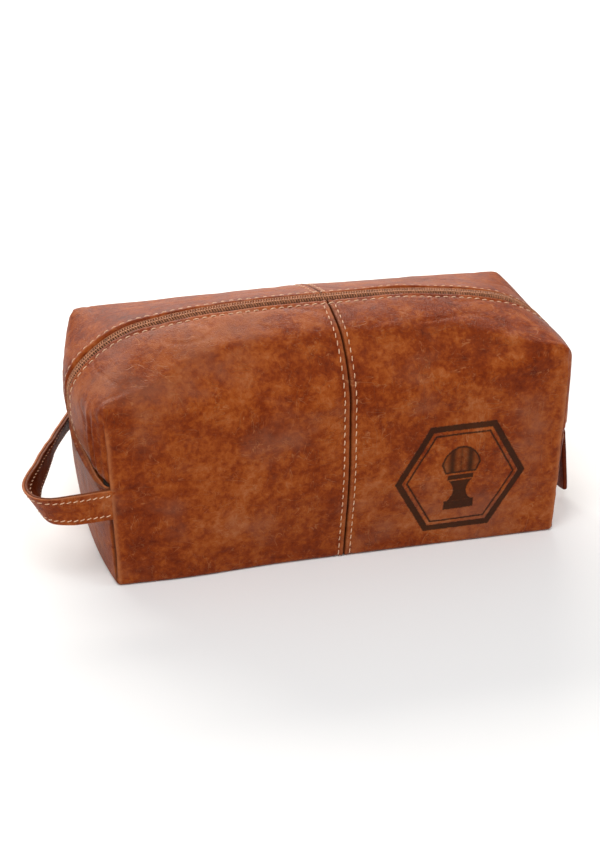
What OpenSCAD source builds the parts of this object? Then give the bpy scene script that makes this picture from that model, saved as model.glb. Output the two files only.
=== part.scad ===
/* [Body] */
// Length between the corner seams of the two ends
body_length = 250; // [210:1:310]
// Depth from front to back at the corner seams
body_depth = 111; // [94:1:136]
// Height of the body at its corners
body_height = 116; // [102:1:140]
// Height of the sewn seam across each end, where the walls start to open
seam_height = 58; // [50:1:64]
// Rise of the zip above the corners
top_crown = 18; // [8:0.5:26]
// How far the upper part of each end stands out at the zip
end_bulge = 15; // [10:0.5:18]
// How far the lower part of each end stands out just under the seam
seam_bulge = 8; // [4:0.5:10]
// How far the front and the back stand out at mid length
face_bulge = 2.5; // [0:0.5:4]
// Corner radius along the upright edges
edge_radius = 8; // [5:0.5:10]
// Corner radius along the top front and top back edges
top_radius = 16; // [10:0.5:20]
// Corner radius along the bottom edges
base_radius = 5; // [3:0.5:7]
// Radius over each end where the zip turns down
turn_radius = 24; // [18:0.5:28]

/* [Leather and lining] */
// Thickness of the leather
leather_t = 1.8; // [1.2:0.1:2.2]
// Thickness of the cloth lining
lining_t = 0.8; // [0.5:0.1:1.2]
// Thickness of the binding tape over the inside seams
binding_t = 0.9; // [0.5:0.1:1.4]
// Width of binding on each side of an inside seam
binding_w = 9; // [6:0.5:12]
// Clear space between layers and between moving pieces
layer_gap = 0.4; // [0.3:0.05:0.6]

/* [Zip] */
// Half width of the opening between the leather edges
zip_half_gap = 4.75; // [4.5:0.05:6]
// Width of one tape
tape_w = 12; // [10:0.5:15]
// Thickness of the tape
tape_t = 0.6; // [0.4:0.1:0.8]
// Width of one row of coil
coil_w = 2.1; // [1.8:0.1:2.4]
// Half of the slot between the two rows of coil
coil_slot = 1.0; // [0.9:0.05:1.2]
// Length of the slider
slider_len = 13; // [10:0.5:16]
// Width of the slider
slider_w = 8.6; // [7:0.1:8.8]
// Thickness of each slider plate
plate_t = 1.1; // [0.8:0.1:1.4]
// Height of the slider's lower end above the zip's end when the zip is shut
slider_above = 2; // [2:0.5:6]
// Lean of the pull towards the front, in degrees
pull_lean = 12.6; // [0:0.1:20]
// Length of the flat leather tab
tab_len = 37; // [25:1:42]
// Width of the flat leather tab
tab_w = 11; // [8:0.5:14]
// Thickness of the flat leather tab
tab_t = 2.4; // [1.5:0.1:3]

/* [Wrist strap] */
// Width of the strap
strap_w = 17.5; // [14:0.5:22]
// Thickness of each of the strap's two layers
strap_t = 1.5; // [1:0.1:2]
// Height of the middle of the strap where it is sewn in
strap_z = 50; // [44:0.5:50]
// How far the loop stands out from the end seams
strap_reach = 45; // [35:1:60]
// Radius of the strap's outer turn
strap_bend = 9; // [6:0.5:12]
// How far out the strap starts to flex
strap_root = 14; // [12:0.5:18]

/* [Hidden] */

half_l = body_length / 2;
half_d = body_depth / 2;
mouth_low = seam_height + layer_gap;
// The zip's ends stand a tenth of the upper wall above the end seams.
zip_low = seam_height + (body_height - seam_height) * 0.1035;
slider_low = zip_low + slider_above;
// How much longer than high the turn over each end is, and the clear space
// under the bindings.
turn_stretch = 6;
binding_clear = 0.6;
tape_in = leather_t + layer_gap;
lining_in = leather_t + layer_gap;
binding_in = lining_in + lining_t + binding_clear;
ring_wire = 0.65;
strap_half = strap_w / 2;
$fn = 48;

function smooth(x) = let (k = min(max(x, 0), 1)) k * k * (3 - 2 * k);
function clamp(x, lo, hi) = min(max(x, lo), hi);

// How far an end stands out at height z on its centre line.
function bulge_at(z) =
    z < seam_height
        ? seam_bulge * sin(90 * z / seam_height)
        : seam_bulge + (end_bulge - seam_bulge) * smooth((z - seam_height) / (zip_low - seam_height));

// A point p on a plain box of the body's size becomes a point on the bag's
// skin, t deep into the wall: the edges are rounded, then the faces crowned.
function skin(p, t) =
    let (
        hx = half_l - t,
        hy = half_d - t,
        x = p.x * hx / half_l,
        y = p.y * hy / half_d,
        z = clamp(p.z, t, body_height - t),
        across = max(0, 1 - pow(y / hy, 2)),
        up = smooth(2 * z / body_height - 1),
        over = z > body_height / 2,
        rx = max(1, (over ? edge_radius + (turn_radius - edge_radius + turn_stretch) * across * up
            : base_radius + (edge_radius - base_radius) * smooth(z / 20)) - t),
        ry = max(1, (over ? edge_radius + (top_radius - edge_radius) * up
            : base_radius + (edge_radius - base_radius) * smooth(z / 20)) - t),
        rz = max(1, (over ? top_radius + (turn_radius - top_radius) * across : base_radius) - t),
        q = [clamp(x, rx - hx, hx - rx), clamp(y, ry - hy, hy - ry),
            clamp(z, t + rz, body_height - t - rz)],
        d = [x - q.x, y - q.y, z - q.z],
        m = max(1, norm([d.x / rx, d.y / ry, d.z / rz])),
        s = q + d / m,
        mid = max(0, 1 - pow(s.y / hy, 2)),
        reach = pow(min(1, abs(s.x) / hx), 4),
        length = max(0, 1 - pow(s.x / hx, 2)),
        lift = smooth((s.z - zip_low) / (body_height - t - zip_low)),
        side = sin(180 * clamp(s.z / body_height, 0, 1))
    )
    [
        s.x + sign(s.x) * bulge_at(s.z) * mid * reach,
        s.y + sign(s.y) * face_bulge * length * side * pow(min(1, abs(s.y) / hy), 4),
        s.z + top_crown * (1 - 0.1 * pow(s.x / hx, 2)) * mid * lift,
    ];

// A wall between depths t0 and t1 over a grid of box points. With pole, the
// grid's last line is one point.
module wall(grid, t0, t1, pole = false, flip = false) {
    n = len(grid);
    m = len(grid[0]);
    points = concat(
        [for (line = grid) for (p = line) skin(p, t0)],
        [for (line = grid) for (p = line) skin(p, t1)]
    );
    function at(i, j, k) = k * n * m + i * m + (pole && i == n - 1 ? 0 : j);
    function quad(a, b, c, d) = concat(
        a == b || b == c || a == c ? [] : [flip ? [c, b, a] : [a, b, c]],
        a == c || c == d || a == d ? [] : [flip ? [d, c, a] : [a, c, d]]
    );
    faces = concat(
        [for (i = [0:n - 2]) for (j = [0:m - 2])
            each quad(at(i, j, 0), at(i + 1, j, 0), at(i + 1, j + 1, 0), at(i, j + 1, 0))],
        [for (i = [0:n - 2]) for (j = [0:m - 2])
            each quad(at(i, j, 1), at(i, j + 1, 1), at(i + 1, j + 1, 1), at(i + 1, j, 1))],
        [for (i = [0:n - 2])
            each quad(at(i, 0, 0), at(i, 0, 1), at(i + 1, 0, 1), at(i + 1, 0, 0))],
        [for (i = [0:n - 2])
            each quad(at(i + 1, m - 1, 0), at(i + 1, m - 1, 1), at(i, m - 1, 1), at(i, m - 1, 0))],
        [for (j = [0:m - 2])
            each quad(at(0, j + 1, 0), at(0, j + 1, 1), at(0, j, 1), at(0, j, 0))],
        pole ? [] : [for (j = [0:m - 2])
            each quad(at(n - 1, j, 0), at(n - 1, j, 1), at(n - 1, j + 1, 1), at(n - 1, j + 1, 0))]
    );
    polyhedron(points = points, faces = faces, convexity = 6);
}

// Box stations from the centre seam to the left front corner, as lengths.
along = [0, half_l * 0.2, half_l * 0.4, half_l * 0.6, half_l * 0.75, half_l * 0.84,
    half_l - 14, half_l - edge_radius, half_l - edge_radius * 0.6, half_l - edge_radius * 0.25, half_l];
// Shares of the half depth from that corner to the zip, and of the wall height.
// The stations over the turn and the top radius keep to those radii.
turn_share = turn_radius / (body_height - mouth_low);
roll_share = top_radius / (body_height - mouth_low);
below_turn = 1 - turn_share * 0.768;
inward = concat(
    [for (k = [0.12, 0.24, 0.348, 0.528, 0.768]) 1 - turn_share * k],
    [for (k = [0.809, 0.588, 0.368]) below_turn * k],
    [0.12]
);
rising = concat(
    [for (k = [0, 0.277, 0.554, 0.776]) (1 - roll_share) * k],
    [for (k = [1, 0.58, 0.25, 0]) 1 - roll_share * k]
);
folding = [0.93, 0.84, 0.71, 0.55, 0.38, 0.22, 0.1, 0];
falling = [1, 0.8, 0.6, 0.4, 0.24, base_radius / seam_height, base_radius * 0.4 / seam_height, 0];
shrinking = [0.97, 0.93, 0.89, 0.7, 0.45, 0.2, 0];

// Columns of one upper quarter from the centre seam to the end seam. Each runs
// from the fold line up its wall, then over to the zip at a half gap of e.
function upper_column(x, y, z, e) = concat(
    [for (f = rising) [x, y, mouth_low + f * (z - mouth_low)]],
    [for (g = folding) [x, -(e + g * (-y - e)), z]]
);
function upper_grid(e) = concat(
    [for (a = along) upper_column(-a, -half_d, body_height, e)],
    [for (g = inward) upper_column(-half_l, -(e + g * (half_d - e)),
        mouth_low + g * (body_height - mouth_low), e)],
    [[for (k = [1:len(rising) + len(folding)]) [-half_l, -e, mouth_low]]]
);

// Plan points round the left half at a share s of full size.
function ring_line(s, z) = concat(
    [for (a = along) [-a * s, -half_d * s, z]],
    [for (g = concat(inward, [0], [for (k = [len(inward) - 1:-1:0]) -inward[k]]))
        [-half_l * s, -half_d * g * s, z]],
    [for (k = [len(along) - 1:-1:0]) [-along[k] * s, half_d * s, z]]
);
function lower_grid() = concat(
    [for (f = falling) ring_line(1, seam_height * f)],
    [for (s = shrinking) ring_line(s, 0)]
);

// Box points of the zip's path from one end over the top to the other. It
// stops short of both tape ends by cut.
function zip_path(cut) =
    let (
        side = concat(
            [[0, body_height]],
            [for (k = [1:len(along) - 1]) [along[k], body_height]],
            [for (g = inward) let (z = mouth_low + g * (body_height - mouth_low))
                if (z > zip_low + cut + 1) [half_l, z]],
            [[half_l, zip_low + cut]]
        )
    )
    concat([for (k = [len(side) - 1:-1:1]) [-side[k].x, side[k].y]], side);
function zip_strip(lo, hi, cut = 0) = [
    for (p = zip_path(cut)) [for (k = [0:2]) [p.x, -(lo + (hi - lo) * k / 2), p.y]]
];

// One binding line round the front left corner at height z.
function corner_line(z) = concat(
    [[-(half_l - binding_w), -half_d, z]],
    [for (a = along) if (a > half_l - binding_w + 0.5) [-a, -half_d, z]],
    [for (g = inward) if (half_d * (1 - g) < binding_w - 0.5) [-half_l, -half_d * g, z]],
    [[-half_l, -(half_d - binding_w), z]]
);

module corner_tape(lo, hi) {
    wall([for (k = [0:6]) corner_line(lo + (hi - lo) * k / 6)], binding_in, binding_in + binding_t,
        flip = true);
}

module both_ends() {
    children();
    mirror([1, 0, 0]) children();
}

module upper_quarter() {
    wall(upper_grid(zip_half_gap), 0, leather_t, pole = true);
}

module lower_half(t0, t1) {
    wall(lower_grid(), t0, t1, pole = true, flip = true);
}

module left_panel_base() { color("sienna") lower_half(0, leather_t); }
module right_panel_base() { color("chocolate") mirror([1, 0, 0]) lower_half(0, leather_t); }
module lining_base() {
    color("tan") both_ends() lower_half(lining_in, lining_in + lining_t);
}

// The tape that covers the inside of one end seam, under the seam line.
module end_binding() {
    span = [for (k = [-4:4]) k / 4 * (half_d - binding_w - 2)];
    wall([for (y = span) [for (z = [seam_height - 8, seam_height - 4, seam_height - 0.5]) [-half_l, y, z]]],
        binding_in, binding_in + binding_t);
}
module end_binding_left() { color("saddlebrown") end_binding(); }
module end_binding_right() { color("saddlebrown") mirror([1, 0, 0]) end_binding(); }

module corner_bindings_base() {
    color("saddlebrown") both_ends() {
        corner_tape(12, seam_height - 1);
        mirror([0, 1, 0]) corner_tape(12, seam_height - 1);
    }
}

module corner_bindings_front() {
    color("saddlebrown") both_ends() corner_tape(mouth_low + 1, body_height - top_radius - 2);
}
module corner_bindings_back() { mirror([0, 1, 0]) corner_bindings_front(); }

module left_panel_front() { color("sienna") upper_quarter(); }
module right_panel_front() { color("chocolate") mirror([1, 0, 0]) upper_quarter(); }
module left_panel_back() { mirror([0, 1, 0]) left_panel_front(); }
module right_panel_back() { mirror([0, 1, 0]) right_panel_front(); }

module lining_front() {
    color("tan") both_ends()
        wall(upper_grid(zip_half_gap + tape_w), lining_in, lining_in + lining_t, pole = true);
}
module lining_back() { mirror([0, 1, 0]) lining_front(); }

module zip_tape_front() {
    color("peru") wall(zip_strip(coil_slot, tape_w), tape_in, tape_in + tape_t);
}
module zip_tape_back() { mirror([0, 1, 0]) zip_tape_front(); }

module zip_coil_front() {
    color("saddlebrown") wall(zip_strip(coil_slot, coil_slot + coil_w, stop_h + 0.4), 0.3, tape_in - 0.05);
}
module zip_coil_back() { mirror([0, 1, 0]) zip_coil_front(); }

// Face of the right end beside the zip, where the slider runs straight.
end_x = half_l + end_bulge;
outer_plate_x = end_x + 0.15;
inner_plate_x = end_x - tape_in - tape_t - 0.35 - plate_t;
bridge_hole = ring_wire + 0.6;
bridge_arch = bridge_hole + 1.1;
bridge_stand = 1.5;
bridge_x = outer_plate_x + plate_t + bridge_stand + bridge_arch;
bridge_z = slider_low + slider_len / 2;
ring_w = 7;
ring_drop = 9;
stop_h = 1.4;
knot_r = 1.2;

// Crimped metal stop on the end of one row of coil, under the slider.
module zip_stop_front() {
    color("darkgoldenrod")
        translate([end_x - tape_in + 0.05, -coil_slot - coil_w, zip_low + 0.2])
            cube([tape_in - 0.3, coil_w, stop_h]);
}
module zip_stop_back() { mirror([0, 1, 0]) zip_stop_front(); }

// One slider plate, standing upright with a round nose at the top.
module slider_plate(x) {
    nose = slider_w / 2;
    translate([x, 0, 0]) rotate([90, 0, 90]) linear_extrude(plate_t) {
        translate([0, slider_low + slider_len - nose]) circle(nose);
        translate([-nose, slider_low]) square([slider_w, slider_len - nose]);
    }
}
module slider_body() {
    post_w = 2 * (coil_slot - 0.25);
    color("darkgoldenrod") union() {
        slider_plate(outer_plate_x);
        slider_plate(inner_plate_x);
        translate([inner_plate_x, -post_w / 2, slider_low + slider_len - 4])
            cube([outer_plate_x + plate_t - inner_plate_x, post_w, 3]);
    }
}

// Arch on the slider's outer plate that holds the ring.
module slider_bridge() {
    color("darkgoldenrod")
        translate([bridge_x, 1.3, bridge_z]) rotate([90, 0, 0]) linear_extrude(2.6) difference() {
            union() {
                circle(bridge_arch);
                translate([-bridge_stand - bridge_arch, -bridge_arch])
                    square([bridge_stand + bridge_arch, 2 * bridge_arch]);
            }
            circle(bridge_hole);
        }
}

// The pull's own frame: its hinge at the origin, hanging down and leaning.
module hang() {
    translate([bridge_x, 0, bridge_z]) rotate([-pull_lean, 0, 0]) children();
}
module bar(a, b) {
    v = b - a;
    translate(a) rotate(v.y == 0 ? [0, 0, 0] : [-90, 0, 0]) cylinder(h = norm(v), r = ring_wire);
}
module pull_ring() {
    w = ring_w / 2;
    color("darkgoldenrod") hang() union() {
        for (s = [-w, w]) {
            bar([0, s, -ring_drop], [0, s, 0]);
            for (z = [0, -ring_drop]) translate([0, s, z]) sphere(ring_wire);
        }
        for (z = [0, -ring_drop]) bar([0, -w, z], [0, w, z]);
    }
}

// Drop from the hinge to the top of the flat tab, and to the knot above it.
tab_top = ring_drop + 23.5;
knot_drop = tab_top - knot_r - 4;
thong_w = 3.4;

// Leather thong folded round the ring's lower bar, its two legs together.
module pull_thong() {
    eye = ring_wire + 0.3;
    color("maroon") hang() translate([0, thong_w / 2, -ring_drop]) rotate([90, 0, 0])
        linear_extrude(thong_w) difference() {
            union() {
                circle(eye + 1.4);
                translate([-1.4, ring_drop - tab_top]) square([2.8, tab_top - ring_drop]);
            }
            circle(eye);
        }
}
module pull_knot() {
    color("maroon") hang() translate([0, 0, -knot_drop])
        rotate_extrude() translate([knot_r + 2.25, 0]) circle(knot_r);
}
module pull_tab() {
    color("maroon") hang()
        translate([-tab_t / 2, -tab_w / 2, -tab_top - tab_len]) cube([tab_t, tab_w, tab_len]);
}

// Plan of the strap: out from the front corner, round the turn, straight back.
strap_front = [-half_l - 1.5, -half_d + 1.5];
strap_turn = [-half_l - strap_reach - 1, -half_d + 5.5];
strap_back = [-half_l - 4, half_d - 1.5];
function unit(v) = v / norm(v);
function side_of(v) = [v.y, -v.x];
turn_in = unit(strap_turn - strap_front);
turn_out = unit(strap_back - strap_turn);
turn_angle = acos(turn_in * turn_out);
turn_start = strap_turn - turn_in * (strap_bend * tan(turn_angle / 2));
turn_centre = turn_start + side_of(turn_in) * strap_bend;

// Centre line of the strap moved sideways by d, as a list of plan points.
function strap_line(d) =
    let (from = atan2(turn_in.y, turn_in.x) + 90, steps = 10)
    concat(
        [strap_front - side_of(turn_in) * d],
        [for (k = [0:steps]) let (a = from - turn_angle * k / steps)
            turn_centre + (strap_bend + d) * [cos(a), sin(a)]],
        [strap_back - side_of(turn_out) * d]
    );
module strap_layer(d0, d1) {
    line = strap_line(d0);
    back = strap_line(d1);
    translate([0, 0, strap_z - strap_half]) linear_extrude(strap_w)
        polygon(concat(line, [for (k = [len(back) - 1:-1:0]) back[k]]));
}

// Where the strap starts to flex, with a round joint face in side view. The
// sewn ends stop clear of the loop's edges up to the loop's greatest turn.
flex_x = -half_l - strap_root;
strap_swing = 50;
sewn_reach = strap_half / cos(strap_swing / 2) + layer_gap;
module strap_joint(r) {
    translate([flex_x, body_depth, strap_z]) rotate([90, 0, 0]) cylinder(h = 2 * body_depth, r = r);
}
module outer_side() {
    translate([flex_x - 2 * strap_reach, -body_depth, 0])
        cube([2 * strap_reach, 2 * body_depth, body_height]);
}
module strap_loop(d0, d1) {
    intersection() {
        strap_layer(d0, d1);
        union() {
            strap_joint(strap_half);
            outer_side();
        }
    }
}
module strap_outer() { color("sienna") strap_loop(0.05, strap_t); }
module strap_inner() { color("chocolate") strap_loop(-strap_t, -0.05); }
module strap_ends() {
    color("sienna") difference() {
        strap_layer(-strap_t, strap_t);
        strap_joint(sewn_reach);
        outer_side();
    }
}

left_panel_base();
right_panel_base();
lining_base();
end_binding_left();
end_binding_right();
corner_bindings_base();
strap_ends();
left_panel_front();
right_panel_front();
lining_front();
zip_tape_front();
zip_coil_front();
zip_stop_front();
corner_bindings_front();
left_panel_back();
right_panel_back();
lining_back();
zip_tape_back();
zip_coil_back();
zip_stop_back();
corner_bindings_back();
slider_body();
slider_bridge();
pull_ring();
pull_thong();
pull_knot();
pull_tab();
strap_outer();
strap_inner();
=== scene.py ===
import math

import bpy
import numpy as np
from mathutils import Matrix, Vector


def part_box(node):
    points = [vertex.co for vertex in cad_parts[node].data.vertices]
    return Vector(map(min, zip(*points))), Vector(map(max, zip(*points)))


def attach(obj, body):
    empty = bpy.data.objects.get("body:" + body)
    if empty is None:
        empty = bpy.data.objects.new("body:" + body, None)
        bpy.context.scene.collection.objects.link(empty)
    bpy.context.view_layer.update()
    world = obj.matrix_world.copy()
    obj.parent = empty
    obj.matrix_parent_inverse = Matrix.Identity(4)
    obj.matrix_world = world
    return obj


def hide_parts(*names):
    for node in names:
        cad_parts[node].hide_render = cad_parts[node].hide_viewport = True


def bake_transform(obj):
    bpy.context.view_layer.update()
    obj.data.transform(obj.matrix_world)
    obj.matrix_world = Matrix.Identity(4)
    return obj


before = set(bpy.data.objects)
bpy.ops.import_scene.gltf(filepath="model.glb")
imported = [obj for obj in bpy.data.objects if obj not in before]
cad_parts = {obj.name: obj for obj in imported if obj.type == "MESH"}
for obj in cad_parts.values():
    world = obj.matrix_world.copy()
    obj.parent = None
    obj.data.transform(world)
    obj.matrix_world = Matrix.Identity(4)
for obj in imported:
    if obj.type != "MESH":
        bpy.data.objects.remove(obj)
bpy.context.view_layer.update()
print("frame loaded")

# the bag's form, in millimetres; a pair holds the left end's value and the right end's, and a reach's pair
# its size along x and along y
bag = {
    "length": 250.0, "depth": 111.0, "height": 116.0,
    "seamHeight": 58.0, "zipLow": 64.0, "zipHalfGap": 4.75,
    "crown": 18.0, "endBulge": 15.0, "seamBulge": (11.5, 8.0), "footBulge": 4.0, "faceBulge": 2.5,
    "uprightRadius": 4.5, "baseRadius": 2.6, "cornerRadius": 4.6, "planPower": (2.2, 2.3),
    "rollFront": 26.0, "rollBack": 7.0,
    "turnHeight": (26.0, 27.0), "turnLength": (30.0, 32.0), "crownPower": (3.3, 2.9),
    "sagLeft": 8.0, "leanLeft": 7.0, "bellyLeft": 1.4, "swellRight": 0.4, "footTuck": 1.8,
    "cornerReach": (36.0, 24.0), "leanBack": 0.4, "leanBackReach": (30.0, 14.0),
    "hollow": 2.2, "hollowHeight": 60.5, "hollowWidth": 5.0, "slowRise": 26.0,
    "tentPeak": 1.08, "tentBlunt": 0.08, "tentShare": 0.75,
}
# half the bag's length and depth, and its height
halfL, halfD, high = bag["length"] / 2, bag["depth"] / 2, bag["height"]


def smooth(x):
    k = np.clip(x, 0, 1)
    return k * k * (3 - 2 * k)


def bump(x, width):
    # bell curve of that width about zero
    return np.exp(-((x / width) ** 2))


def makeNoise(seed):
    # value noise: random numbers on a lattice, blended smoothly between its corners
    table = np.random.default_rng(seed).random(4096)
    primes = (73856093, 19349663, 83492791)

    def noise(p, cell):
        q = np.asarray(p) / np.asarray(cell, float)
        base = np.floor(q).astype(np.int64)
        f = q - base
        f = f * f * (3 - 2 * f)
        total = 0
        for dx in (0, 1):
            for dy in (0, 1):
                for dz in (0, 1):
                    k = base + (dx, dy, dz)
                    k = k[..., 0] * primes[0] ^ k[..., 1] * primes[1] ^ k[..., 2] * primes[2]
                    w = np.where(dx, f[..., 0], 1 - f[..., 0]) * np.where(dy, f[..., 1], 1 - f[..., 1])
                    total = total + table[k % len(table)] * w * np.where(dz, f[..., 2], 1 - f[..., 2])
        return total * 2 - 1
    return noise


softNoise, creaseNoise, waveNoise = makeNoise(3), makeNoise(11), makeNoise(29)


def endStandOut(z, rightward):
    # How far an end's middle stands out at height z. It grows from the foot as a sine; above the seam the
    # left end swells again from a hollow, and the right end steps out quickly for the slider.
    foot = bag["footBulge"]
    seam = bag["seamBulge"][0] + (bag["seamBulge"][1] - bag["seamBulge"][0]) * rightward
    low = foot + (seam - foot) * np.sin(np.pi / 2 * np.clip(z / bag["seamHeight"], 0, 1))
    quick = smooth((z - bag["seamHeight"]) / (bag["zipLow"] - bag["seamHeight"]))
    hollow = -bag["hollow"] * bump(z - bag["hollowHeight"], bag["hollowWidth"])
    slow = smooth((z - bag["seamHeight"]) / bag["slowRise"])
    step = slow + (quick - slow) * rightward
    return low + (bag["endBulge"] - seam) * step + hollow * (1 - rightward) * (z > bag["seamHeight"])


def skin(p, t=0.0):
    # A point of the plain box p moves inward by t, its box edges are rounded by radii that change over
    # the bag, then ends, faces and top are crowned by powers of the place, and the left front corner sags.
    p = np.asarray(p, float)
    t = np.broadcast_to(np.asarray(t, float), p.shape[:-1])
    hx, hy = halfL - t, halfD - t
    x, y = p[..., 0] * hx / halfL, p[..., 1] * hy / halfD
    z = high / 2 + (p[..., 2] - high / 2) * (1 - 2 * t / high)
    rightward = smooth(0.5 + x / 60)

    def leftRight(key):
        return bag[key][0] + (bag[key][1] - bag[key][0]) * rightward

    across = np.clip(1 - (y / hy) ** 2, 0, 1)
    up = smooth(2 * z / high - 1)
    over = z > high / 2
    front = smooth(0.5 - y / 30)
    nearEnd = smooth((np.abs(x) / halfL - 0.45) / 0.5)
    roll = bag["rollBack"] + (bag["rollFront"] - bag["rollBack"]) * front
    roll = roll + (bag["cornerRadius"] - roll) * nearEnd
    upright, low = bag["uprightRadius"], bag["baseRadius"]
    rise = smooth(z / 20)
    below = low + (upright - low) * rise
    rx = np.where(over, upright + (leftRight("turnLength") - upright) * across * up, below) - t
    ry = np.where(over, upright + (roll - upright) * up, below) - t
    rz = np.where(over, roll + (leftRight("turnHeight") - roll) * across, low) - t
    rx, ry, rz = np.maximum(rx, 1), np.maximum(ry, 1), np.maximum(rz, 1)
    qx, qy = np.clip(x, rx - hx, hx - rx), np.clip(y, ry - hy, hy - ry)
    qz = np.clip(z, t + rz, high - t - rz)
    m = np.maximum(1, np.sqrt(((x - qx) / rx) ** 2 + ((y - qy) / ry) ** 2 + ((z - qz) / rz) ** 2))
    x, y, z = qx + (x - qx) / m, qy + (y - qy) / m, qz + (z - qz) / m
    part = np.clip(np.abs(y) / hy, 0, 1)
    mid = 1 - part ** 2
    # behind the zip the top slopes away like a blunt tent, not like the parabola in front
    slope = 0.9 * (bag["tentPeak"] * part) ** 2 + 0.11 * part ** 4
    tent = bag["tentPeak"] - np.sqrt(slope + bag["tentBlunt"] ** 2)
    mid = np.where(y > 0, (1 - bag["tentShare"]) * mid + bag["tentShare"] * tent, mid)
    reach = np.minimum(1, np.abs(x) / hx) ** 4
    lift = smooth((z - bag["zipLow"]) / (high - t - bag["zipLow"]))
    side = np.sin(np.pi * np.clip(z / high, 0, 1))
    length = np.clip(1 - (x / hx) ** 2, 0, 1)
    planPower = bag["planPower"][1] + (bag["planPower"][0] - bag["planPower"][1]) * front
    outX = x + np.sign(x) * endStandOut(z, rightward) * (1 - part ** planPower) * reach
    outX = outX + bag["swellRight"] * smooth((x - 60) / 60) * front
    outY = y + np.sign(y) * bag["faceBulge"] * length * side * part ** 4
    arch = 1 - np.minimum(1, np.abs(x) / hx) ** leftRight("crownPower")
    outZ = z + bag["crown"] * arch * mid * lift
    # the left front top corner is soft and hangs a little, and the wall below it bellies out
    corner = bump(x + halfL, bag["cornerReach"][0]) * bump(y + halfD, bag["cornerReach"][1])
    hang = corner * smooth((z - 62) / 54)
    backCorner = bump(x + halfL, bag["leanBackReach"][0]) * bump(y - halfD, bag["leanBackReach"][1])
    lean = corner * np.clip(z / high, 0, 1) + bag["leanBack"] * backCorner * smooth((z - 60) / 50)
    belly = bump(x + 85, 45) * smooth((20 - y) / 60) * (1 - smooth(z / 90))
    tuck = smooth((x + 95) / 60) * smooth((20 - y) / 60) * (1 - smooth(z / 45))
    return np.stack([outX - bag["leanLeft"] * lean,
                     outY - bag["bellyLeft"] * belly + bag["footTuck"] * tuck,
                     outZ - bag["sagLeft"] * hang], -1)


def leatherRelief(p):
    # shallow hollows and soft folds of a filled leather wall, as a depth into the wall
    q = skin(p)
    broad = 0.9 * softNoise(q, 46) + 0.45 * softNoise(q, 21)
    ridge = 1 - np.abs(creaseNoise(q, (26, 18, 9)))
    folds = 0.55 * np.clip(ridge - 0.82, 0, 1) / 0.18
    flat = smooth(q[..., 2] / 14)  # the bottom lies flat
    return (broad + folds * 0.6) * flat * 0.9


def gridFaces(n, m, flip=False):
    # the quads of a grid of n lines with m points each
    i, j = np.meshgrid(np.arange(n - 1), np.arange(m - 1), indexing="ij")
    a = (i * m + j).ravel()
    quads = np.stack([a, a + m, a + m + 1, a + 1], 1)
    return quads[:, ::-1] if flip else quads


def makePiece(name, points, faces, material, smoothShade=True, attributes=None):
    # points in millimetres, faces an (n, 4) array in which a repeated last corner makes a triangle; nothing
    # goes below the ground that the bag stands on
    mesh = bpy.data.meshes.new(name)
    points = np.array(points, float).reshape(-1, 3)
    points[:, 2] = np.maximum(points[:, 2], 0)
    faces = np.asarray(faces, np.int64)
    tri = faces[:, 3] == faces[:, 2]
    counts = np.where(tri, 3, 4)
    loops = faces[np.arange(4)[None, :] < counts[:, None]]
    mesh.vertices.add(len(points))
    mesh.vertices.foreach_set("co", (points / 1000).astype(np.float32).ravel())
    mesh.loops.add(len(loops))
    mesh.loops.foreach_set("vertex_index", loops.astype(np.int32))
    mesh.polygons.add(len(faces))
    starts = np.concatenate([[0], np.cumsum(counts)[:-1]])
    mesh.polygons.foreach_set("loop_start", starts.astype(np.int32))
    mesh.polygons.foreach_set("loop_total", counts.astype(np.int32))
    mesh.polygons.foreach_set("use_smooth", np.full(len(faces), smoothShade))
    rest = mesh.attributes.new("rest", "FLOAT_VECTOR", "POINT")
    rest.data.foreach_set("vector", (points / 1000).astype(np.float32).ravel())
    for key, values in (attributes or {}).items():
        layer = mesh.attributes.new(key, "FLOAT", "POINT")
        layer.data.foreach_set("value", np.asarray(values, np.float32).ravel())
    mesh.update()
    mesh.validate()
    piece = bpy.data.objects.new(name, mesh)
    bpy.context.scene.collection.objects.link(piece)
    piece.data.materials.append(material)
    return piece


def joinParts(parts):
    # stacks (points, faces, values) parts into one
    points, faces, values, count = [], [], [], 0
    for pts, quads, vals in parts:
        pts = np.asarray(pts).reshape(-1, 3)
        points.append(pts)
        faces.append(np.asarray(quads) + count)
        values.append(np.asarray(vals).reshape(len(pts), -1))
        count += len(pts)
    return np.concatenate(points), np.concatenate(faces), np.concatenate(values)


def joinPlain(parts):
    # stacks (points, faces) parts into one
    points, faces, _ = joinParts([(pts, quads, np.zeros(len(pts))) for pts, quads in parts])
    return points, faces


def thicken(piece, thickness):
    mod = piece.modifiers.new("wall", "SOLIDIFY")
    mod.thickness = thickness / 1000
    mod.offset = -1
    mod.use_even_offset = False


def mouthBlend(piece):
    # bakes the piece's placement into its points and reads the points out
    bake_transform(piece)
    co = np.zeros(len(piece.data.vertices) * 3, np.float32)
    piece.data.vertices.foreach_get("co", co)


class Node:
    # wraps a socket so that shader maths reads as plain expressions
    def __init__(self, tree, socket):
        self.tree, self.socket = tree, socket

    def math(self, operation, *others):
        return self.tree.add("ShaderNodeMath", {"operation": operation}, [self, *others])

    def __rsub__(self, other):
        return self.tree.add("ShaderNodeMath", {"operation": "SUBTRACT"}, [other, self])

    def __abs__(self):
        return self.math("ABSOLUTE")

    def ramp(self, low, high):
        # 0 below low, 1 above high, smooth between
        return self.tree.add("ShaderNodeMapRange", {"interpolation_type": "SMOOTHSTEP"},
                             {"Value": self, "From Min": low, "From Max": high})


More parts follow.
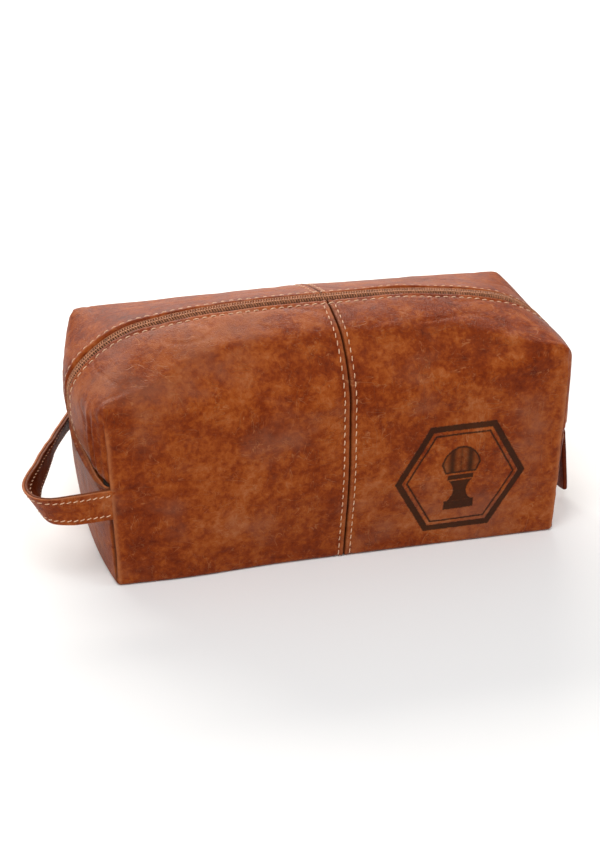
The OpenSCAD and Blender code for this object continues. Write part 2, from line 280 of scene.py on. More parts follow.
# a node's output can be used in plain sums
for method, operation in {"__add__": "ADD", "__radd__": "ADD", "__sub__": "SUBTRACT", "__mul__": "MULTIPLY",
                          "__rmul__": "MULTIPLY", "max": "MAXIMUM", "min": "MINIMUM"}.items():
    setattr(Node, method, lambda self, other, operation=operation: self.math(operation, other))


class Tree:
    def __init__(self, name):
        self.material = bpy.data.materials.new(name)
        self.material.use_nodes = True
        self.nodes, self.links = self.material.node_tree.nodes, self.material.node_tree.links
        self.nodes.clear()
        self.out = self.nodes.new("ShaderNodeOutputMaterial")

    def add(self, kind, settings=None, inputs=None, output=0):
        # one node: its settings first, then values or links for its sockets, by order or by name
        node = self.nodes.new(kind)
        for key, value in (settings or {}).items():
            if key == "stops":
                ramp = node.color_ramp
                while len(ramp.elements) < len(value):
                    ramp.elements.new(0.5)
                for element, (place, shade) in zip(ramp.elements, value):
                    element.position, element.color = place, (*shade, 1)
            else:
                setattr(node, key, value)
        inputs = inputs or {}
        pairs = inputs.items() if isinstance(inputs, dict) else enumerate(inputs)
        for key, value in pairs:
            socket = node.inputs[key]
            if isinstance(value, Node):
                self.links.new(value.socket, socket)
            else:
                socket.default_value = value
        return Node(self, node.outputs[output])

    def mix(self, share, a, b, mode="MIX"):
        return self.add("ShaderNodeMix", {"data_type": "RGBA", "blend_type": mode},
                        {0: share, 6: colour(a), 7: colour(b)}, 2)

    def noise(self, place, scale, detail=3.0, rough=0.55, distortion=0.0):
        return self.add("ShaderNodeTexNoise", None, {
            "Vector": place, "Scale": scale, "Detail": detail, "Roughness": rough, "Distortion": distortion})

    def cells(self, place, scale, feature="DISTANCE_TO_EDGE", randomness=1.0):
        return self.add("ShaderNodeTexVoronoi", {"feature": feature},
                        {"Vector": place, "Scale": scale, "Randomness": randomness})

    def attribute(self, name, output):
        return self.add("ShaderNodeAttribute", {"attribute_name": name}, None, output)

    def stretch(self, place, x, y, z):
        return self.add("ShaderNodeVectorMath", {"operation": "MULTIPLY"}, [place, (x, y, z)])

    def axes(self, place):
        split = self.add("ShaderNodeSeparateXYZ", None, [place])
        return [Node(self, out) for out in split.socket.node.outputs]

    def finish(self, base, roughness, height=None, depth=0.001, **fixed):
        inputs = {"Base Color": colour(base), "Roughness": roughness}
        inputs.update({key.replace("_", " "): value for key, value in fixed.items()})
        if height is not None:
            inputs["Normal"] = self.add("ShaderNodeBump", None, {"Height": height, "Distance": depth})
        shader = self.add("ShaderNodeBsdfPrincipled", None, inputs)
        self.links.new(shader.socket, self.out.inputs["Surface"])
        return self.material


def colour(value):
    # a socket stays as it is, and three numbers get an alpha
    if isinstance(value, Node) or len(value) == 4:
        return value
    return (*value, 1.0)


# leather colours; burnt colours the burnt mark and is also the painted shade in seam grooves and tucks
leather = {
    "deep": (0.105, 0.0105, 0.0009), "body": (0.195, 0.027, 0.0022), "warm": (0.300, 0.062, 0.008),
    "pale": (0.42, 0.145, 0.055), "haze": (0.275, 0.105, 0.058), "burntAndGrooveShade": (0.015, 0.0062, 0.0032),
    "roughness": 0.45, "shine": 0.13, "sheen": (1.0, 0.80, 0.62, 1), "reliefDepth": 0.00032,
    # each kind of scratch: how strong, its noise's scale along x, y and z, and how wide
    "scratches": ((1.0, (105, 105, 26), 0.0085), (1.0, (26, 26, 110), 0.0075),
                  (0.9, (60, 60, 66), 0.0055), (0.7, (210, 210, 170), 0.015)),
}
# the burnt mark on the right half: a six-sided frame round a plain shaving brush
mark = {"x": 0.0660, "z": 0.0435, "radius": 0.0312, "band": 0.0036}


def markMask(tree, place):
    # distance functions in the plane of the front wall, joined by minimum
    x, y, z = tree.axes(place)
    wobble = (tree.noise(place, 900, 2) - 0.5) * 0.0010
    u, v = abs(x - mark["x"]), z - mark["z"]
    hexagon = (u * 0.866 + abs(v) * 0.5).max(abs(v)) - mark["radius"]
    frameBand = abs(hexagon) - mark["band"] / 2
    innerBand = abs(hexagon + 0.0042) - 0.0005
    # a domed bunch of hair, a ring, and a turned handle on a foot
    hair = ((u * 1.25) * (u * 1.25) + (v - 0.0045) * (v - 0.0045)).math("SQRT") - 0.0150
    hair = hair.max(0.0030 - v).max(u - (0.0078 + v * 0.42))
    ferrule = (u - 0.0074).max(abs(v - 0.0005) - 0.0014)
    neck = (u - (0.0038 + (v + 0.0080) * (v + 0.0080) * 75)).max(abs(v + 0.0082) - 0.0066)
    foot = (u - 0.0088).max(abs(v + 0.0172) - 0.0028)
    shape = frameBand.min(innerBand).min(hair).min(ferrule).min(neck).min(foot) + wobble
    lines = (u * 900).math("SINE") * 0.5 + 0.5
    inHair = 1 - hair.ramp(-0.0016, -0.0006)
    mask = 1 - shape.ramp(-0.0004, 0.0004)
    front = 1 - y.ramp(-0.0505, -0.0495)
    return (mask * (1 - inHair * lines * 0.55)) * front


def leatherMaterial(name, marked=False, tint=1.0, scaleUp=1.0):
    tree = Tree(name)
    place = tree.attribute("rest", 1)
    broad = tree.noise(place, 24 * scaleUp, 4, 0.6, 0.6)
    mottle = tree.noise(place, 82 * scaleUp, 6, 0.68, 0.35)
    speck = tree.noise(place, 300, 5, 0.72, 0.4)
    tone = broad * 0.33 + mottle * 0.32 + speck * 0.35
    stops = [(0.38, leather["deep"]), (0.475, leather["body"]),
             (0.55, leather["warm"]), (0.69, leather["pale"])]
    base = tree.add("ShaderNodeValToRGB", {"stops": stops}, [tone])
    haze = tree.noise(tree.stretch(place, 1, 1, 1.4), 17 * scaleUp, 5, 0.6).ramp(0.50, 0.70)
    base = tree.mix(haze * 0.42, base, leather["haze"])
    # fine pale scratches: the thin middle lines of stretched noises, each broken up by another
    scratches = 0.0
    for number, (strength, shape, wide) in enumerate(leather["scratches"]):
        away = (0.31 * number, 0.17, 0.05 * number)
        bent = tree.add("ShaderNodeVectorMath", {"operation": "ADD"}, [place, away])
        line = tree.noise(tree.stretch(bent, *[k * scaleUp for k in shape]), 1.0, 2.5, 0.6, 0.5)
        thin = 1 - abs(line - 0.5).ramp(0.0, wide)
        here = tree.noise(bent, 46 + 21 * number, 3, 0.6).ramp(0.50, 0.62)
        scratches = thin * here * strength + scratches
    scratches = scratches.min(1.0)
    base = tree.mix(scratches * 0.58, base, leather["pale"])
    worn = tree.attribute("worn", 2)
    base = tree.mix((worn * (0.35 + speck * 0.7)).min(1.0), base, leather["pale"])
    # painted shade: points in the seam grooves and tucks darken towards the burnt colour
    crevice = tree.attribute("crevice", 2)
    base = tree.mix((crevice * 0.85).min(1.0), base, leather["burntAndGrooveShade"])
    grain = tree.cells(place, 1350, "F1").ramp(0.1, 0.8)
    pores = tree.noise(place, 2700, 2, 0.6)
    height = 0.26 * grain + 0.14 * pores + speck * 0.55 + mottle * 0.9 - scratches * 0.55
    rough = leather["roughness"] + (mottle - 0.5) * 0.30 + scratches * 0.08 + haze * 0.06
    if marked:
        burn = markMask(tree, place)
        base = tree.mix(burn * (0.72 + speck * 0.32), base, leather["burntAndGrooveShade"])
        height = height - burn * 1.3
        rough = rough + burn * 0.2
    if tint != 1.0:
        base = tree.mix(1.0, base, (tint, tint * 0.8, tint * 0.8), "MULTIPLY")
    return tree.finish(base, rough, height, leather["reliefDepth"], Specular_IOR_Level=leather["shine"],
                       Specular_Tint=leather["sheen"])


def threadMaterial():
    tree = Tree("waxed_thread")
    place = tree.attribute("rest", 1)
    twist = tree.noise(place, 1500, 2)
    base = tree.mix(twist.ramp(0.35, 0.65), (0.52, 0.29, 0.165), (0.80, 0.52, 0.34))
    return tree.finish(base, 0.6, twist, 0.0002)


def tapeMaterial(name, dark, light, scale):
    tree = Tree(name)
    place = tree.attribute("rest", 1)
    x, y, z = tree.axes(place)
    warpThreads = ((x + z) * scale).math("SINE") * 0.5 + 0.5
    weft = ((y + z * 0.3) * scale).math("SINE") * 0.5 + 0.5
    weave = warpThreads * weft
    fuzz = tree.noise(place, 700, 3)
    base = tree.mix((weave * 0.7 + fuzz * 0.5).min(1.0), dark, light)
    return tree.finish(base, 0.85, weave + fuzz * 0.4, 0.0002)


def coilMaterial():
    tree = Tree("nylon_coil")
    place = tree.attribute("rest", 1)
    fuzz = tree.noise(place, 500, 3)
    base = tree.mix(fuzz.ramp(0.3, 0.7), (0.235, 0.088, 0.040), (0.50, 0.205, 0.100))
    return tree.finish(base, 0.45 + fuzz * 0.2, fuzz, 0.0001, Specular_IOR_Level=0.22)


def cordMaterial():
    tree = Tree("coil_cord")
    place = tree.attribute("rest", 1)
    twist = tree.noise(place, 1300, 2)
    base = tree.mix(twist.ramp(0.35, 0.65), (0.25, 0.100, 0.046), (0.52, 0.225, 0.112))
    return tree.finish(base, 0.7, twist, 0.0001, Specular_IOR_Level=0.15)


def metalMaterial():
    tree = Tree("antique_brass")
    place = tree.add("ShaderNodeTexCoord", None, None, 3)
    cloud = tree.noise(place, 320, 4, 0.6)
    fine = tree.noise(place, 2200, 2)
    base = tree.mix(cloud.ramp(0.38, 0.62), (0.10, 0.062, 0.028), (0.42, 0.29, 0.13))
    return tree.finish(base, 0.30 + cloud * 0.25, fine, 0.00005, Metallic=1.0)


panelLeather = leatherMaterial("tan_leather")
markedLeather = leatherMaterial("tan_leather_marked", marked=True)
strapLeather = leatherMaterial("strap_leather", scaleUp=1.4)
pullLeather = leatherMaterial("pull_leather", tint=0.62, scaleUp=1.6)
# painted shade: the strap's inner layer is the same leather darkened to 0.42 for its shadowed face
strapShadedLeather = leatherMaterial("strap_leather_shaded", tint=0.42, scaleUp=1.4)
thread = threadMaterial()
coilNylon = coilMaterial()
zipTape = tapeMaterial("zip_tape", (0.090, 0.034, 0.015), (0.31, 0.125, 0.060), 5200)
liningCloth = tapeMaterial("lining_cloth", (0.028, 0.018, 0.012), (0.075, 0.052, 0.036), 5200)
bindingCloth = tapeMaterial("binding_cloth", (0.045, 0.020, 0.010), (0.12, 0.060, 0.032), 5200)
cordThread = cordMaterial()
brass = metalMaterial()
print("materials made")


seams = {
    "centre": 1.8, "rowFromSeam": 3.2, "rollRadius": 1.9, "rollShare": 0.6, "leatherThickness": 1.7,
    "rowFromZip": 4.2, "archLeft": 1.5, "archRight": 3.0, "sewn": 59.0, "underTurn": 8.0,
    "pitch": 4.7, "tuck": 2.1,
}


def endSeamHeight(y, sideX):
    # the seam across an end climbs as a parabola towards the zip
    arch = seams["archLeft"] if sideX < 0 else seams["archRight"]
    return seams["sewn"] + arch * (1 - np.clip(np.abs(y) / halfD, 0, 1) ** 2)


def relief(p):
    # depth of the wall's surface below the plain skin: hollows, puckers at the seams, raised corner lips
    p = np.asarray(p, float)
    x, y, z = p[..., 0], p[..., 1], p[..., 2]
    t = leatherRelief(p)
    fromEdge = (halfL - np.abs(x)) - (halfD - np.abs(y))
    upright = smooth((z - 3) / 6) * (1 - smooth((z - 96) / 14)) * smooth((np.abs(y) - 30) / 6)
    t = t + upright * (0.95 * bump(fromEdge + 1.7, 0.9) - 0.75 * bump(fromEdge - 1.0, 1.2))
    # soft upright folds on the left end beside the front corner, and a crease that runs off it
    onLeftEnd = smooth((-halfL + 1.0 - x) / 1.0) * smooth((z - 60) / 9) * (1 - smooth((z - 92) / 18))
    for height, place, width in ((1.2, -46.5, 1.9), (1.0, -39.5, 2.4), (-0.7, -43.2, 1.6), (-0.5, -34.5, 3)):
        t = t - onLeftEnd * height * bump(y - place, width)
    creaseLine = z - 56.5 - 0.10 * (x + halfL) - 0.006 * (x + halfL) ** 2
    t = t + 0.7 * bump(creaseLine, 1.3) * smooth((-98 - x) / 16) * smooth((-40 - y) / 10)
    fromSeam = np.abs(x - seams["centre"])
    onWrap = smooth((halfL - np.abs(x)) / 5)
    run = np.where(z > high - 0.5, high + halfD - np.abs(y), z)
    pucker = np.cos(2 * np.pi * run / seams["pitch"])
    t = t + onWrap * (0.42 + 0.12 * pucker) * bump(fromSeam - seams["rowFromSeam"], 0.9)
    t = t - onWrap * 0.35 * bump(fromSeam - 1.7, 1.1)
    fromZip = np.abs(y) - zipEdge - seams["rowFromZip"]
    onTop = smooth((z - 62) / 8) * smooth((30 - np.abs(y)) / 8)
    zipRun = np.cos(2 * np.pi * (np.abs(x) - z) / seams["pitch"])
    t = t + onTop * (0.36 + 0.10 * zipRun) * bump(fromZip, 0.9) - onTop * 0.30 * bump(fromZip + 2.0, 1.5)
    return t


def surface(p, lift=0.0):
    # the leather's own face with its relief, or a place that stands over it
    return skin(p, relief(p) - lift)


zipEdge = bag["zipHalfGap"]
step = 1.2


def stations(a, b, spacing):
    # even steps from a to b, near the spacing
    return np.linspace(a, b, max(2, int(round(abs(b - a) / spacing)) + 1))


def rolled(radius, count=6):
    # a quarter turn inward: how far from the edge, and how deep
    angle = np.linspace(0, np.pi / 2, count)
    return radius * (1 - np.sin(angle)), radius * (1 - np.cos(angle))


def upperGrid(sideX, sideY):
    # The wall from under the bottom edge over the top to the zip, and the end above its seam. Columns run
    # round the section and are shared, so the two grids meet along the corner.
    roll, sink = rolled(seams["rollRadius"])
    centre = seams["centre"] * sideX
    seamRoll = roll * seams["rollShare"]
    xs = np.concatenate([centre + seamRoll[::-1], stations(centre + seamRoll[0], halfL - 12, step)[1:],
                         stations(halfL - 12, halfL, step * 0.45)[1:]])
    xSink = np.concatenate([sink[::-1], np.zeros(len(xs) - len(roll))])
    under = stations(halfD - seams["underTurn"], halfD, step * 0.6)
    wallZ = np.concatenate([stations(0, 10, step * 0.6)[1:], stations(10, seams["sewn"], step)[1:],
                            stations(seams["sewn"], high - 18, step)[1:],
                            stations(high - 18, high, step * 0.7)[1:]])
    topY = np.concatenate([stations(halfD, halfD - 18, step * 0.7)[1:],
                           stations(halfD - 18, zipEdge + roll[0], step)[1:], zipEdge + roll[1:]])
    ySink = np.concatenate([np.zeros(len(topY) - len(roll) + 1), sink[1:]])
    columnY = np.concatenate([under, np.full(len(wallZ), halfD), topY])
    columnZ = np.concatenate([np.zeros(len(under)), wallZ, np.full(len(topY), high)])
    columnSink = np.concatenate([np.zeros(len(under) + len(wallZ)), ySink])
    x, y = np.meshgrid(xs, columnY, indexing="ij")
    z = np.broadcast_to(columnZ, x.shape)
    depth = np.hypot(xSink[:, None], columnSink[None, :])
    p = np.stack([x * sideX, y * sideY, z], -1)
    wrap = skin(p, relief(p) + depth)
    wrapFaces = gridFaces(*x.shape, flip=sideX * sideY > 0)
    # the end above its seam, with a few lines tucked in behind the lower end
    above = wallZ[wallZ >= seams["sewn"] - 0.01]
    share = (above - above[0]) / (high - above[0])
    edge = endSeamHeight(np.concatenate([[halfD], topY]), sideX)
    rowY = np.concatenate([[halfD], topY])
    rows = edge[None, :] + share[:, None] * (high - edge[None, :])
    tuckRows = edge[None, :] - np.array([5.0, 3.0, 1.2])[:, None]
    z = np.concatenate([tuckRows, rows])
    y = np.broadcast_to(rowY, z.shape)
    tucked = seams["tuck"] * (1 - smooth((z - edge[None, :]) / 5.0)) * smooth((halfD - y) / 4)
    depth = tucked + np.concatenate([[0], ySink])[None, :]
    p = np.stack([np.full_like(z, halfL) * sideX, y * sideY, z], -1)
    end = skin(p, relief(p) + depth)
    endFaces = gridFaces(*z.shape, flip=sideX * sideY < 0)
    # painted shade: the end darkens in a band just above its seam, where it tucks in behind the lower end's
    # lip
    crevice = bump(z - edge[None, :] - 0.6, 1.5) * 0.9
    return [(wrap, wrapFaces, wornAndPaintedShade(xs[:, None], wrap, sideX)),
            (end, endFaces, np.stack([np.zeros(crevice.size), crevice.ravel()], -1))]


def wornAndPaintedShade(x, wrap, sideX):
    # pale wear along the rolled centre seam and the corner lip, and painted shade just inside the groove
    x = np.broadcast_to(x, wrap.shape[:2])
    fromSeam = np.abs(x * sideX - seams["centre"])
    lip = bump(halfL - x - 1.4, 1.0) * smooth((100 - wrap[..., 2]) / 14)
    worn = lip * 0.8 + 0.5 * bump(fromSeam - 1.5, 0.7)
    dark = 0.9 * bump(fromSeam, 0.7)
    return np.stack([worn.ravel(), dark.ravel()], -1)


def lowerGrid(sideX):
    # The bottom between the turned-under walls, and the end below its seam with its standing lip.
    roll, sink = rolled(seams["rollRadius"])
    centre = seams["centre"] * sideX
    seamRoll = roll * seams["rollShare"]
    xs = np.concatenate([centre + seamRoll[::-1], stations(centre + seamRoll[0], halfL - 12, step)[1:],
                         stations(halfL - 12, halfL, step * 0.6)[1:]])
    xSink = np.concatenate([sink[::-1], np.zeros(len(xs) - len(roll))])
    inner = halfD - seams["underTurn"]
    ys = stations(-inner, inner, step)
    x, y = np.meshgrid(xs, ys, indexing="ij")
    p = np.stack([x * sideX, y, np.zeros_like(x)], -1)
    bottom = skin(p, relief(p) + xSink[:, None])
    bottomFaces = gridFaces(*x.shape, flip=sideX > 0)
    edgeY = stations(inner, halfD, step * 0.5)[1:]
    rowY = np.concatenate([-edgeY[::-1], ys, edgeY])
    edge = endSeamHeight(rowY, sideX)
    share = np.concatenate([stations(0, 0.15, 0.012), stations(0.15, 0.85, 0.017)[1:],
                            stations(0.85, 1, 0.007)[1:]])
    z = share[:, None] * edge[None, :]
    y = np.broadcast_to(rowY, z.shape)
    lip = bump(z - edge[None, :], 7.0) * 0.9 * smooth((halfD - np.abs(y)) / 8)
    roundOff = 0.8 * bump(z - edge[None, :], 0.5)
    p = np.stack([np.full_like(z, halfL) * sideX, y, z], -1)
    end = skin(p, relief(p) - lip + roundOff)
    endFaces = gridFaces(*z.shape, flip=sideX > 0)
    worn = 0.7 * bump(z - edge[None, :] + 0.5, 1.0)
    # painted shade in the grooves of the corner seams
    dark = 0.75 * bump(halfD - np.abs(y) - 1.8, 1.1)
    return [(bottom, bottomFaces, np.zeros((x.size, 2))),
            (end, endFaces, np.stack([worn.ravel(), dark.ravel()], -1))]


def mergedPiece(name, parts, material):
    # grids that share lines become one mesh without doubled points
    points, faces, values = joinParts(parts)
    key = np.round(points * 1000).astype(np.int64)
    _, first, back = np.unique(key, axis=0, return_index=True, return_inverse=True)
    return makePiece(name, points[first], back.ravel()[faces], material,
                     attributes={"worn": values[first, 0], "crevice": values[first, 1]})


sideNames = {-1: "left", 1: "right"}
faceNames = {-1: "front", 1: "back"}
for sideX, sideName in sideNames.items():
    base = mergedPiece(f"{sideName}_base_leather", lowerGrid(sideX), panelLeather)
    thicken(base, seams["leatherThickness"])
    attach(base, "bag")
    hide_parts(f"{sideName}_panel_base")
    for sideY, faceName in faceNames.items():
        marked = sideX > 0 and sideY < 0
        upper = mergedPiece(f"{sideName}_{faceName}_leather", upperGrid(sideX, sideY),
                            markedLeather if marked else panelLeather)
        thicken(upper, seams["leatherThickness"])
        mouthBlend(upper)
        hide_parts(f"{sideName}_panel_{faceName}")
print("leather made")


def sweep(centres, outward, radii, flat=1.0):
    # many tubes at once: six-sided rings of radius r about each centre line, closed at both ends
    ring = 6
    along = np.gradient(centres, axis=1)
    along /= np.linalg.norm(along, axis=-1, keepdims=True)
    across = np.cross(along, outward)
    across /= np.linalg.norm(across, axis=-1, keepdims=True)
    up = np.cross(across, along)
    turn = np.linspace(0, 2 * np.pi, ring, endpoint=False)
    r = np.asarray(radii)[None, :, None, None]
    cosine, sine = np.cos(turn)[None, None, :, None], np.sin(turn)[None, None, :, None]
    points = centres[:, :, None, :] + r * (cosine * across[:, :, None, :] + flat * sine * up[:, :, None, :])
    n, k = centres.shape[:2]
    i, j, s = np.meshgrid(np.arange(n), np.arange(k - 1), np.arange(ring), indexing="ij")
    a = (i * k + j) * ring + s
    b = (i * k + j) * ring + (s + 1) % ring
    quads = np.stack([a, a + ring, b + ring, b], -1).reshape(-1, 4)
    caps = []
    for start, order in ((0, 1), ((k - 1) * ring, -1)):
        fan = np.array([[0, 1, 2, 3], [0, 3, 4, 5]])[:, ::order]
        caps.append(((np.arange(n) * k * ring + start)[:, None, None] + fan[None]).reshape(-1, 4))
    return points.reshape(-1, 3), np.concatenate([quads, *caps])


class Row:
    # a line on the bag in box points, measured in real length on the surface
    def __init__(self, boxPoints, depth=0.0):
        self.box = np.asarray(boxPoints, float)
        real = skin(self.box, depth)
        gaps = np.linalg.norm(np.diff(real, axis=0), axis=-1)
        self.length = np.concatenate([[0], np.cumsum(gaps)])

    def at(self, s):
        return np.stack([np.interp(s, self.length, self.box[:, k]) for k in range(3)], -1)


stitch = {"length": 3.5, "radius": 0.32, "proud": 0.26, "dive": 0.75, "slant": 0.07}


def stitchRow(row, acrossDir, start, end):
    # Stitches lie a pitch apart. Each thread rises out of the leather, slants a little and dives back, as the
    # cube of the way from its middle.
    count = int((end - start) // seams["pitch"])
    middle = start + (np.arange(count) + 0.5) * seams["pitch"]
    u = np.linspace(-1, 1, 7)
    s = middle[:, None] + u[None, :] * stitch["length"] / 2
    box = row.at(s)
    side = np.asarray(acrossDir, float)
    box = box + side * (u * stitch["slant"] * stitch["length"])[None, :, None]
    lift = stitch["proud"] - stitch["dive"] * np.abs(u) ** 3
    centres = surface(box, lift[None, :])
    outward = surface(box, lift[None, :] + 1.0) - centres
    outward /= np.linalg.norm(outward, axis=-1, keepdims=True)
    radii = stitch["radius"] * np.sqrt(np.clip(1 - 0.55 * np.abs(u) ** 4, 0.1, 1))
    return sweep(centres, outward, radii)


def wrapLine(x, sideY, stop):
    # box points under the bottom edge, up the wall and over the top to y = stop
    under = [(x, sideY * y, 0) for y in np.linspace(2, halfD, 30)]
    wallPart = [(x, sideY * halfD, z) for z in np.linspace(0, high, 60)[1:]]
    top = [(x, sideY * y, high) for y in np.linspace(halfD, stop, 40)[1:]]
    return Row(under + wallPart + top)


def zipLine(y, depth, sinkLeft=0.0, sinkRight=0.0):
    # box points up the left end, along the top and down the right end at a fixed y
    lowLeft = endSeamHeight(y, -1) - sinkLeft
    lowRight = endSeamHeight(y, 1) - sinkRight
    points = [(-halfL, y, z) for z in np.linspace(lowLeft, high, 60)]
    points += [(x, y, high) for x in np.linspace(-halfL, halfL, 200)[1:]]
    points += [(halfL, y, z) for z in np.linspace(high, lowRight, 60)[1:]]
    return Row(points, depth)


for sideY, faceName in faceNames.items():
    parts = []
    for sideX in (-1, 1):
        x = seams["centre"] + sideX * seams["rowFromSeam"]
        row = wrapLine(x, sideY, zipEdge + 1.5)
        parts.append(stitchRow(row, (0.9, 0, 0), 14, row.length[-1] - 1.0))
    y = sideY * (zipEdge + seams["rowFromZip"])
    row = zipLine(y, 0.0)
    parts.append(stitchRow(row, (0, 1.0, 0), 1.5, row.length[-1] - 1.0))
    threads = makePiece(f"{faceName}_topstitching", *joinPlain(parts), thread)
    mouthBlend(threads)
print("topstitching made")

zipParts = {"toothPitch": 1.45, "toothRadius": 0.48, "tapeDepth": 2.05, "tapeEdge": 12.0,
            "tapeThickness": 0.55, "cordAcross": 2.05, "cordRadius": 0.24, "stopHeight": 65.0}


def coilTeeth(sideY):
    # each turn of the coil climbs from the tape, runs flat to the middle and bends over its neighbour
    row = zipLine(0.0, 1.0, 4.0, 0.0)
    count = int(row.length[-1] // zipParts["toothPitch"])
    middle = (np.arange(count) + (0.25 if sideY > 0 else 0.75)) * zipParts["toothPitch"]
    across = np.array([3.25, 3.3, 2.7, 1.7, 0.7, 0.15, 0.1])
    deep = np.array([1.9, 1.0, 0.5, 0.4, 0.4, 0.65, 1.3])
    lean = np.linspace(0.35, -0.2, len(across)) * zipParts["toothPitch"]
    box = row.at(middle[:, None] + lean[None, :])
    box[..., 1] = sideY * across[None, :]
    centres = skin(box, deep[None, :])
    ahead = row.at(middle[:, None] + lean[None, :] + 0.5)
    ahead[..., 1] = box[..., 1]
    sideways = skin(ahead, deep[None, :]) - centres
    radii = zipParts["toothRadius"] * np.array([0.9, 1, 1, 1, 1.05, 1.1, 0.9])
    return sweep(centres, sideways, radii)


def ribbon(row, y0, y1, depth, lines, count):
    # a flat band on the bag: rows along the line, columns from y0 to y1
    s = np.linspace(0, row.length[-1], lines)
    y = np.linspace(y0, y1, count)
    box = np.repeat(row.at(s)[:, None, :], count, axis=1)
    box[..., 1] = y[None, :]
    return skin(box, depth), gridFaces(lines, count, flip=y1 < y0)


for sideY, faceName in faceNames.items():
    points, quads = coilTeeth(sideY)
    coil = makePiece(f"{faceName}_coil", points, quads, coilNylon)
    mouthBlend(coil)
    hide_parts(f"zip_coil_{faceName}")
    row = zipLine(0.0, zipParts["tapeDepth"], 5.0, 2.0)
    points, quads = ribbon(row, sideY * 0.25, sideY * zipParts["tapeEdge"], zipParts["tapeDepth"], 320, 9)
    tape = makePiece(f"{faceName}_tape", points, quads, zipTape)
    thicken(tape, zipParts["tapeThickness"])
    mouthBlend(tape)
    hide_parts(f"zip_tape_{faceName}")
    # the sewing cord that holds the coil to the tape rises and dips once a tooth
    s = np.linspace(0, row.length[-1], 700)
    box = row.at(s)[None, :, :].copy()
    box[..., 1] = sideY * zipParts["cordAcross"]
    weave = -0.05 + 0.10 * np.cos(2 * np.pi * s / zipParts["toothPitch"])[None, :]
    centres = skin(box, weave)
    outward = skin(box, weave - 1.0) - centres
    points, quads = sweep(centres, outward, np.full(len(s), zipParts["cordRadius"]), flat=0.8)
    cordPiece = makePiece(f"{faceName}_coil_cords", points, quads, cordThread)
    mouthBlend(cordPiece)
    # the crimped stop at the lower end
    spot = skin(np.array([[halfL, sideY * 2.05, zipParts["stopHeight"]]]), 1.1)[0]
    corners = [(sx, sy, sz) for sx in (-1, 1) for sy in (-1, 1) for sz in (-1, 1)]
    offsets = np.array(corners) * (0.9, 1.0, 0.8)
    cube = np.array([[0, 1, 3, 2], [4, 6, 7, 5], [0, 4, 5, 1], [2, 3, 7, 6], [0, 2, 6, 4], [1, 5, 7, 3]])
    stop = makePiece(f"{faceName}_stop", spot + offsets, cube, brass, smoothShade=False)
    mouthBlend(stop)
    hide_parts(f"zip_stop_{faceName}")
print("zip made")


# the cloth pieces' depths in the wall, thicknesses and sizes
inside = {"lining": 2.75, "liningThickness": 0.7, "binding": 3.75, "bindingThickness": 0.8,
          "bindingWidth": 9.0, "fold": 58.5, "coarse": 3.0, "liningFromZip": 9.0}


def plainUpper(sideX, sideY, depth, stopY, lowest):
    # the wall above a fold line and the end above it, plain, without seams' relief
    xs = stations(0, halfL, inside["coarse"])
    wallZ = stations(lowest, high, inside["coarse"])
    topY = stations(halfD, stopY, inside["coarse"])[1:]
    columnY = np.concatenate([np.full(len(wallZ), halfD), topY])
    columnZ = np.concatenate([wallZ, np.full(len(topY), high)])
    x, y = np.meshgrid(xs, columnY, indexing="ij")
    p = np.stack([x * sideX, y * sideY, np.broadcast_to(columnZ, x.shape)], -1)
    wrap = (skin(p, depth), gridFaces(*x.shape, flip=sideX * sideY > 0), np.zeros(x.size * 2))
    z, y = np.meshgrid(wallZ, np.concatenate([[halfD], topY]), indexing="ij")
    p = np.stack([np.full_like(z, halfL) * sideX, y * sideY, z], -1)
    end = (skin(p, depth), gridFaces(*z.shape, flip=sideX * sideY < 0), np.zeros(z.size * 2))
    return [wrap, end]


def plainLower(sideX, depth, top):
    # the bottom, the end and both walls up to a height, plain
    xs = stations(0, halfL, inside["coarse"])
    ys = stations(-halfD, halfD, inside["coarse"])
    zs = stations(0, top, inside["coarse"])
    x, y = np.meshgrid(xs, ys, indexing="ij")
    p = np.stack([x * sideX, y, np.zeros_like(x)], -1)
    parts = [(skin(p, depth), gridFaces(*x.shape, flip=sideX > 0), np.zeros(x.size * 2))]
    z, y = np.meshgrid(zs, ys, indexing="ij")
    p = np.stack([np.full_like(z, halfL) * sideX, y, z], -1)
    parts.append((skin(p, depth), gridFaces(*z.shape, flip=sideX > 0), np.zeros(z.size * 2)))
    for sideY in (-1, 1):
        x, z = np.meshgrid(xs, zs, indexing="ij")
        p = np.stack([x * sideX, np.full_like(x, halfD) * sideY, z], -1)
        parts.append((skin(p, depth), gridFaces(*x.shape, flip=sideX * sideY > 0), np.zeros(x.size * 2)))
    return parts


base = mergedPiece("base_lining", plainLower(-1, inside["lining"], inside["fold"])
                   + plainLower(1, inside["lining"], inside["fold"]), liningCloth)
thicken(base, inside["liningThickness"])
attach(base, "bag")
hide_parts("lining_base")


def tapeStrip(points, faces, name, body, node):
    # body is "bag", which hangs the strip on the bag, or a side of the mouth, which only bakes its placement
    strip = makePiece(name, points, faces, bindingCloth)
    thicken(strip, inside["bindingThickness"])
    if body == "bag":
        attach(strip, "bag")
    else:
        mouthBlend(strip)
    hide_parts(node)


def cornerStrips(sideYs, low, top):
    # bands up the inside of the corner seams: across from the wall round to the end
    wide = inside["bindingWidth"]
    wallPart = [(x, halfD) for x in np.linspace(halfL - wide, halfL, 6)]
    across = np.array(wallPart + [(halfL, y) for y in np.linspace(halfD, halfD - wide, 6)[1:]])
    parts = []
    for sideX in (-1, 1):
        for sideY in sideYs:
            z, k = np.meshgrid(stations(low, top, 3.0), np.arange(len(across)), indexing="ij")
            p = np.stack([across[k, 0] * sideX, across[k, 1] * sideY, z], -1)
            points = skin(p, inside["binding"]).reshape(-1, 3)
            parts.append((points, gridFaces(*z.shape, flip=sideX * sideY < 0)))
    return joinPlain(parts)


